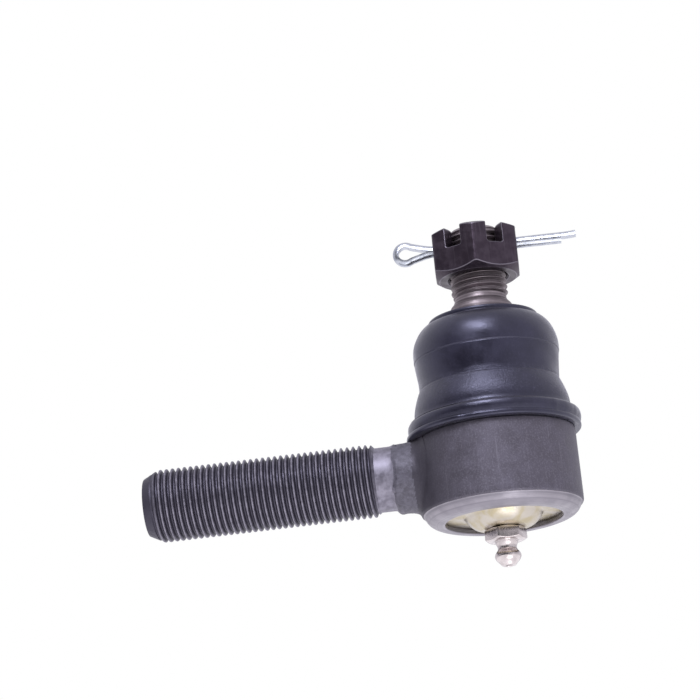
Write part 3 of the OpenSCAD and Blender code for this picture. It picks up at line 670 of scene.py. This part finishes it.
# ---------------------------------------------------------------- ball stud
def make_stud():
    columns = 96
    thread_start, undercut, neck, end_r = 40.4, 6.45, 6.3, STUD_R - 1.2
    ball = [(BALL_R * math.cos(p), BALL_R * math.sin(p)) for p in np.radians(np.linspace(-75, 58.3, 40))]
    line = [(0.0, ball[0][1])] + ball
    shank = rounded([ball[-1], (neck, BALL_R * 0.851 + 0.5, 0.8), (neck + 0.1, 13.0, 1), (neck + 0.6, 15.4, 1),
        (BIG_R - 0.5, 16.8, 0.5), (BIG_R, TAPER_FOOT + 0.2, 0.3), (TAPER_R, TAPER_TOP, 0.8),
                     (undercut + 0.32, TAPER_TOP + 1.05, 1.0), (undercut, TAPER_TOP + 1.85, 0.5),
                     (undercut, thread_start - 0.3, 0.1), (undercut, thread_start, 0)])
    line = split_long(np.array(line + list(shank[1:])), 1.6)
    angle = np.arange(columns) / columns * TAU
    rings = [np.stack([r * np.cos(angle), r * np.sin(angle), np.full(columns, z)], -1) for r, z in line[1:]]
    foot = np.array([[0, 0, line[0][1]]])
    points = np.concatenate([np.array(rings).reshape(-1, 3), foot])
    faces = grid_faces(len(rings), columns) + fan(0, columns, len(points) - 1)
    thread = from_tree("stud_thread", thread_rule, {
        "Radius": STUD_R - 0.02, "Depth": 0.9, "Pitch": STUD_PITCH, "Start": thread_start, "End": STUD_TOP,
        "Start radius": undercut, "Start slope": 1.1,
        "End radius": end_r, "End slope": 1.0, "Columns": columns, "Rows a turn": 10})
    worm = mesh_arrays(thread)
    top = [np.stack([r * np.cos(angle), r * np.sin(angle), np.full(columns, STUD_TOP - d)], -1) for r,
        d in ((end_r, 0), (4.8, 0), (2.0, 0.05))]
    tip = len(top) * columns
    cap = (np.concatenate([np.array(top).reshape(-1, 3), [[0, 0, STUD_TOP - 0.08]]]),
        grid_faces(len(top), columns) + fan(tip - columns, columns, tip))
    return joined((points, faces), worm, cap)


def cut(target, cutters, operation="DIFFERENCE"):
    """Boolean with closed cutters, then the cutters are removed and the result kept as a plain mesh."""
    for cutter in cutters:
        step = target.modifiers.new("cut", "BOOLEAN")
        step.operation, step.object, step.solver = operation, cutter, "EXACT"
    mesh = modified_mesh(target)
    target.modifiers.clear()
    target.data = mesh
    for cutter in cutters:
        bpy.data.objects.remove(cutter)
    return target


def rod_line(r, length):
    return split_long(np.array([(0.0, -length / 2), (r, -length / 2), (r, length / 2), (0.0, length / 2)]), 50)


def solid_of(name, line, around, finish=None, place=None):
    """A closed turned solid whose line starts and ends on the axis; place turns or moves its points."""
    points, faces = turned(line[1:-1], around)
    n = len(line) - 2
    points = np.concatenate([points, [[0, 0, line[0][1]], [0, 0, line[-1][1]]]])
    faces = faces + [((i + 1) % around, i, n * around) for i in range(around)] + fan((n - 1) * around, around,
        n * around + 1)
    if place is not None:
        points = place(points)
    return piece(name, points, faces, [finish] if finish else [], None)


def about_z(degrees, lift=0.0):
    a = math.radians(degrees)
    spin = np.array([[math.cos(a), -math.sin(a), 0], [math.sin(a), math.cos(a), 0], [0, 0, 1]])
    return lambda points: points @ spin.T + np.array([0, 0, lift])


ball_stud = piece("ball_stud_forged", *make_stud(), [stud_steel], None, sharp=32)
drill = solid_of("drill", rod_line(PIN_R + 0.25, 30), 32, stud_steel, lambda p: about_z(NUT_TURN,
    HOLE_Z)(np.stack([p[:, 2], p[:, 0], p[:, 1]], -1)))
cut(ball_stud, [drill])
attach(ball_stud, "stud")
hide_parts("ball_stud")


# ---------------------------------------------------------------- castle nut
def make_nut():
    corner = NUT_AF / 2 / math.cos(math.radians(30))
    angle = np.radians(np.arange(6) * 60 + 30)
    hexagon = np.array(rounded([(corner * math.cos(a), corner * math.sin(a), 0.75) for a in angle], closed=True,
        steps=4))
    points, faces = raised(hexagon, 0.0, NUT_H)
    nut = piece("castle_nut_blank", about_z(NUT_TURN, NUT_Z)(points), faces, [black_oxide], None)
    rim = corner + 0.05
    turned_blank = solid_of("nut_chamfers", np.array([(0, -0.001), (NUT_AF / 2 - 0.75, -0.001), (rim, 1.7),
        (rim, NUT_H - 1.15), (NUT_AF / 2 - 0.05, NUT_H - 0.25), (NUT_AF / 2 - 0.6, NUT_H + 0.001), (0, NUT_H + 0.001)]),
        144, None, about_z(0, NUT_Z))
    cut(nut, [turned_blank], "INTERSECT")
    tools = [solid_of("nut_bore", np.array([(0, -1), (STUD_R + 1.6, -1), (STUD_R + 0.03, 0.75),
        (STUD_R + 0.03, NUT_H - 0.9), (STUD_R + 1.3, NUT_H + 0.4), (STUD_R + 1.9, NUT_H + 1), (0, NUT_H + 1)]), 96,
        None, about_z(0, NUT_Z))]
    w, floor = SLOT_W / 2, NUT_H - SLOT_H
    mouth = [(w - 0.35, floor), (w, floor + 0.35), (w, NUT_H - 0.7), (w + 0.15, NUT_H - 0.3), (w + 0.5, NUT_H + 0.02),
        (w + 0.5, NUT_H + 2)]
    mouth = [(-y, z) for y, z in mouth[::-1]] + mouth
    count = len(mouth)
    for turn in (0, 60, 120):
        prism = np.array([(x, y, z) for x in (-NUT_AF, NUT_AF) for y, z in mouth])
        sides = [(i, (i + 1) % count, (i + 1) % count + count, i + count) for i in range(count)]
        tools.append(piece("slot_%d" % turn, about_z(NUT_TURN + turn, NUT_Z)(prism),
            sides + [tuple(range(count - 1, -1, -1)), tuple(range(count, 2 * count))], [], None))
    for tool in tools:
        cut(nut, [tool])
    nut.name = "castle_nut_oxide"
    work = bmesh.new()
    work.from_mesh(nut.data)
    bmesh.ops.remove_doubles(work, verts=work.verts, dist=3e-5)
    bmesh.ops.dissolve_limit(work, angle_limit=math.radians(1.0), verts=work.verts, edges=work.edges)
    work.to_mesh(nut.data)
    work.free()
    edge = nut.modifiers.new("broken edges", "BEVEL")
    edge.width, edge.segments, edge.limit_method, edge.angle_limit = 0.00015, 2, "ANGLE", math.radians(24)
    edge.use_clamp_overlap = False
    edge.miter_outer = "MITER_ARC"
    nut.data.polygons.foreach_set("use_smooth", [True] * len(nut.data.polygons))
    mesh = modified_mesh(nut)
    nut.modifiers.clear()
    nut.data = mesh
    # the flats, faces and slot walls are shaded flat, the chamfer cones and the bore smooth
    normals = np.empty(len(mesh.polygons) * 3)
    mesh.polygons.foreach_get("normal", normals)
    normals = normals.reshape(-1, 3)
    spin = (np.degrees(np.arctan2(normals[:, 1], normals[:, 0])) - NUT_TURN) % 30
    upright = (np.abs(normals[:, 2]) < 0.02) & ((spin < 0.4) | (spin > 29.6))
    mesh.set_sharp_from_angle(angle=math.radians(10))
    mesh.polygons.foreach_set("use_smooth", (~(upright | (np.abs(normals[:, 2]) > 0.99))).tolist())
    # the narrow faces are the broken edges, painted lighter: the oxide is rubbed there, and the lighter colour also
    # paints their highlight
    longest = [max((mesh.vertices[a].co - mesh.vertices[b].co).length for a,
        b in face.edge_keys) for face in mesh.polygons]
    narrow = [float(face.area / span < 0.00026) for face, span in zip(mesh.polygons, longest)]
    mesh.attributes.new("rubbed_and_highlit_edge", "FLOAT", "FACE").data.foreach_set("value", narrow)
    return nut


castle_nut = make_nut()
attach(castle_nut, "stud")
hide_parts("castle_nut")


# ---------------------------------------------------------------- cover and grease fitting
def cover_line():
    f = 9.6
    return split_long(rounded([
        (3.02, -APEX_Z, 0.15), (f - 4.2, -APEX_Z, 1.6), (f - 2.2, -APEX_Z + 0.65, 1.5), (f - 0.75, -APEX_Z + 2.0, 1.2),
        (f + 0.05, -COVER_FACE, 0.5), (15.7, -COVER_FACE, 0.2), (16.0, -COVER_FACE + 0.3, 0.2), (16.0, -COVER_IN, 0.1),
        (f - 0.4, -COVER_IN, 0.5), (f - 1.6, -COVER_IN - 1.1, 0.8), (f - 2.7, -FLOOR_Z + 0.5, 0.8),
        (f - 3.5, -FLOOR_Z, 0.6), (4.5, -FLOOR_Z, 0.3), (4.5, -FLOOR_Z + 1.4, 0.2), (3.02, -FLOOR_Z + 1.8, 0.1)],
        closed=True), 0.7, closed=True)


def cover_uneven(r, z, a):
    dome = np.clip((9.6 - r) / 3, 0, 1)
    return r, z + dome * waves(a, 17, (2, 3, 5), 0.06) * (r > 4.6) + np.where((r > 10) & (z < -COVER_FACE + 0.02),
        waves(a, 19, (3, 4, 7), 0.02), 0)


cover = piece("pressed_cover", *turned(cover_line(), COVER_SIDES, closed=True, shape=cover_uneven), [yellow_zinc],
    "socket", sharp=45)
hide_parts("cover_plate")


def make_fitting():
    tip, hex_h = 27.4, 3.1
    corner = 4.5 / math.cos(math.radians(30))
    columns = 60
    # turned body: thread inside the cover, collar, neck, coupling head, ball seat and grease way
    line = rounded([
        (1.1, -13.0, 0.1), (2.4, -13.0, 0.2), (2.98, -13.6, 0.2), (2.98, -APEX_Z - 0.1, 0), (2.95, -APEX_Z - 0.15, 0),
        (2.95, -APEX_Z - hex_h + 0.1, 0), (2.9, -21.25, 0), (2.75, -21.8, 0.3), (2.35, -22.6, 0.4), (2.3, -23.4, 0.5),
        (3.0, -24.2, 0.4), (3.22, -24.8, 0.3), (3.24, -25.2, 0.3), (2.9, -26.0, 0.5), (2.35, -26.5, 0.4),
        (1.6, -tip, 0.25), (0.95, -tip, 0.2), (0.85, -27.1, 0.1), (1.45, -26.45, 0.1), (1.45, -16.2, 0.1),
        (1.1, -16.2, 0.1)], closed=True)
    body = turned(split_long(line, 0.5, closed=True), columns, closed=True)
    fitting = piece("grease_fitting", *body, [nickel], None, sharp=30)
    angle = np.radians(np.arange(6) * 60 + 12)
    hexagon = np.stack([corner * np.cos(angle), corner * np.sin(angle)], -1)
    points, faces = raised(hexagon, -APEX_Z - hex_h, -APEX_Z - 0.01)
    flats = piece("fitting_hexagon", points, faces, [nickel], None)
    rim = corner + 0.05
    cone = solid_of("fitting_chamfers", np.array([(0, -APEX_Z - hex_h - 0.001), (4.25, -APEX_Z - hex_h - 0.001),
        (rim, -APEX_Z - hex_h + 0.5), (rim, -APEX_Z - 0.4), (4.3, -APEX_Z + 0.001), (0, -APEX_Z + 0.001)]), 96)
    cut(flats, [cone], "INTERSECT")
    hole = solid_of("fitting_way", np.array([(0, -23), (2.6, -23), (2.6, -17), (0, -17)]), 60)
    cut(flats, [hole])
    edge = flats.modifiers.new("broken edges", "BEVEL")
    edge.width, edge.segments, edge.limit_method, edge.angle_limit = 0.00012, 2, "ANGLE", math.radians(24)
    hex_mesh = modified_mesh(flats)
    work = bmesh.new()
    work.from_mesh(fitting.data)
    work.from_mesh(hex_mesh)
    work.to_mesh(fitting.data)
    work.free()
    bpy.data.objects.remove(flats)
    fitting.data.polygons.foreach_set("use_smooth", [True] * len(fitting.data.polygons))
    fitting.data.set_sharp_from_angle(angle=math.radians(30))
    return fitting


fitting = make_fitting()
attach(fitting, "socket")
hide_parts("fitting_body")


# ---------------------------------------------------------------- split pin
def make_pin():
    """Half round wire: along one leg, round the eye, back along the other, flats together."""
    eye = EYE_R - PIN_R / 2 - 0.55
    cx = -6.6
    path = [np.array([PIN_LONG, 0.22]), np.array([PIN_LONG - 1.2, 0.06]), np.array([PIN_LONG - 3.0, 0.0])]
    path += [np.array([x, 0.0]) for x in np.linspace(PIN_SHORT - 2, 0.0, 14)]
    start, leave = np.array([0.0, 0.0]), math.radians(52)
    for k in np.linspace(0.12, 1, 10):
        touch = np.array([cx + eye * math.cos(leave), eye * math.sin(leave)])
        mid = np.array([-1.4, 0.1])
        path.append((1 - k) ** 2 * start + 2 * k * (1 - k) * mid + k * k * touch)
    for a in np.linspace(leave, TAU / 2, 18)[1:]:
        path.append(np.array([cx + eye * math.cos(a), eye * math.sin(a)]))
    path = np.array(path)
    lower = path[::-1][1:] * np.array([1, -1])
    # the short leg stops early
    lower = lower[lower[:, 0] <= PIN_SHORT]
    lower = np.concatenate([lower, [[PIN_SHORT, 0.0]]])
    line = np.concatenate([path, lower])
    ahead = np.gradient(line, axis=0)
    ahead /= np.linalg.norm(ahead, axis=1)[:, None]
    out = np.stack([ahead[:, 1], -ahead[:, 0]], -1)        # away from the other leg
    turn = np.linspace(-math.pi / 2, math.pi / 2, 13)
    arc = np.stack([np.cos(turn), np.sin(turn)], -1)
    section = np.concatenate([arc * np.array([PIN_R, PIN_R * 0.98]), [[0.03, PIN_R * 0.6], [0.02, 0.0],
        [0.03, -PIN_R * 0.6]]])
    section[:13, 0] += 0.02
    rings = np.array([[(p[0] + n[0] * s[0], s[1], p[1] + n[1] * s[0]) for s in section] for p, n in zip(line, out)])
    count = len(section)
    points = rings.reshape(-1, 3)
    faces = grid_faces(len(rings), count)
    faces += [tuple(range(count - 1, -1, -1)), tuple(range((len(rings) - 1) * count, len(rings) * count))]
    points = points - np.array([NUT_AF / 2 + 0.4, 0, 0])
    return about_z(NUT_TURN, HOLE_Z)(points), faces


split_pin = piece("split_pin_wire", *make_pin(), [bright_zinc], "pin", sharp=42)
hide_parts("split_pin")


# ---------------------------------------------------------------- springs and the pieces inside
def make_coil(name, body, replaced, joint, travel, moving_end, **sizes):
    """A spring that rides the piece it pushes."""
    mesh = from_tree(name + "_rule", coil_rule, sizes)
    points, faces = mesh_arrays(mesh)
    made = piece(name, points, faces, [spring_steel], body, sharp=60)
    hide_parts(replaced)
    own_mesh(made)


make_coil("preload_coil", "seat", "preload_spring", "seat_preload", SEAT_TRAVEL, "top", **{"Coil radius": 5.35,
    "Wire radius": 0.64, "Foot": -FLOOR_Z + 0.67, "Height": 2.35, "Turns": 1.85})
make_coil("check_ball_coil", "check_ball", "fitting_spring", "check_ball_lift", CHECK_LIFT, "bottom",
    **{"Coil radius": 1.05, "Wire radius": 0.17, "Foot": -24.45, "Height": 7.9, "Turns": 8.0, "Steps a turn": 24})
for name, finish in (("upper_bearing", sintered), ("lower_seat", turned_bore), ("fitting_ball", polished_ball),
        ("boot_base_ring", ring_steel), ("boot_neck_ring", ring_steel)):
    nodes[name].data.materials.clear()
    nodes[name].data.materials.append(finish)


# ---------------------------------------------------------------- floor, light and camera
def make_stage():
    floor_mesh = bpy.data.meshes.new("floor")
    floor_mesh.from_pydata([(-6, -6, -1.2), (6, -6, -1.2), (6, 6, -1.2), (-6, 6, -1.2)], [], [(0, 1, 2, 3)])
    pale, _, s = new_finish("pale_floor", 0.0, 0.9)
    s.inputs["Base Color"].default_value = paint("#f4f4f4")
    s.inputs["Emission Color"].default_value = (1, 1, 1, 1)
    s.inputs["Emission Strength"].default_value = 0.55
    floor_mesh.materials.append(pale)
    floor = bpy.data.objects.new("floor", floor_mesh)
    bpy.context.scene.collection.objects.link(floor)
    world = bpy.data.worlds.new("studio")
    bpy.context.scene.world = world
    world.use_nodes = True
    t = world.node_tree
    t.nodes.clear()
    # white all round, darker overhead on the open side of the tent
    at = add(t, "ShaderNodeTexCoord").outputs["Generated"]
    toward = add(t, "ShaderNodeVectorMath", {0: at, 1: (-0.42, -0.87, -0.26)}, operation="DOT_PRODUCT").outputs["Value"]
    shade = add(t, RANGE, {0: toward, 1: 0.25, 2: 0.90, 3: 1.05, 4: 0.12}, interpolation_type="SMOOTHSTEP")
    tent = add(t, "ShaderNodeBackground", {"Color": paint("#f1f0f8"), "Strength": shade})
    sky = add(t, "ShaderNodeBackground", {"Color": (1, 1, 1, 1), "Strength": 1.0})
    seen = add(t, "ShaderNodeLightPath").outputs["Is Camera Ray"]
    both = add(t, "ShaderNodeMixShader", {0: seen, 1: tent, 2: sky})
    add(t, "ShaderNodeOutputWorld", {"Surface": both})


def soft_light(name, place, aim, size, power, tint="#ffffff"):
    data = bpy.data.lights.new(name, "AREA")
    data.shape, data.size, data.energy = "SQUARE", size, power
    data.color = paint(tint)[:3]
    lamp = bpy.data.objects.new(name, data)
    bpy.context.scene.collection.objects.link(lamp)
    lamp.location = place
    lamp.rotation_euler = (Vector(aim) - Vector(place)).to_track_quat("-Z", "Y").to_euler()


def make_camera():
    """A long lens, a little below the socket and rolled as the part lies."""
    az, el, roll = math.radians(6.0), math.radians(-16.28), math.radians(-5.4)
    # the ball centre lies right of the lens axis and below it by these many mm
    lens_mm, sensor_mm, distance, right_by, below_by = 147.8859, 36.0, 0.700, 35.882, 25.779
    back = np.array([math.sin(az) * math.cos(el), -math.cos(az) * math.cos(el), math.sin(el)])
    right = np.array([math.cos(az), math.sin(az), 0])
    up = np.cross(back, right)
    x = math.cos(roll) * right + math.sin(roll) * up
    y = -math.sin(roll) * right + math.cos(roll) * up
    place = distance * back - right_by * MM * x + below_by * MM * y
    data = bpy.data.cameras.new("camera")
    data.lens, data.sensor_width, data.clip_start = lens_mm, sensor_mm, 0.01
    camera = bpy.data.objects.new("camera", data)
    bpy.context.scene.collection.objects.link(camera)
    frame = np.eye(4)
    frame[:3, 0], frame[:3, 1], frame[:3, 2], frame[:3, 3] = x, y, back, place
    camera.matrix_world = Matrix(frame.tolist())
    bpy.context.scene.camera = camera


make_stage()
soft_light("key_softbox", (-0.10, -0.75, 0.70), (0, 0, 0.01), 0.34, 9.0, "#f4f6ff")
soft_light("lip_light", (0.20, -0.50, -0.68), (0, 0, -0.016), 0.6, 2.3)
make_camera()
bpy.context.scene.view_settings.view_transform = "Standard"
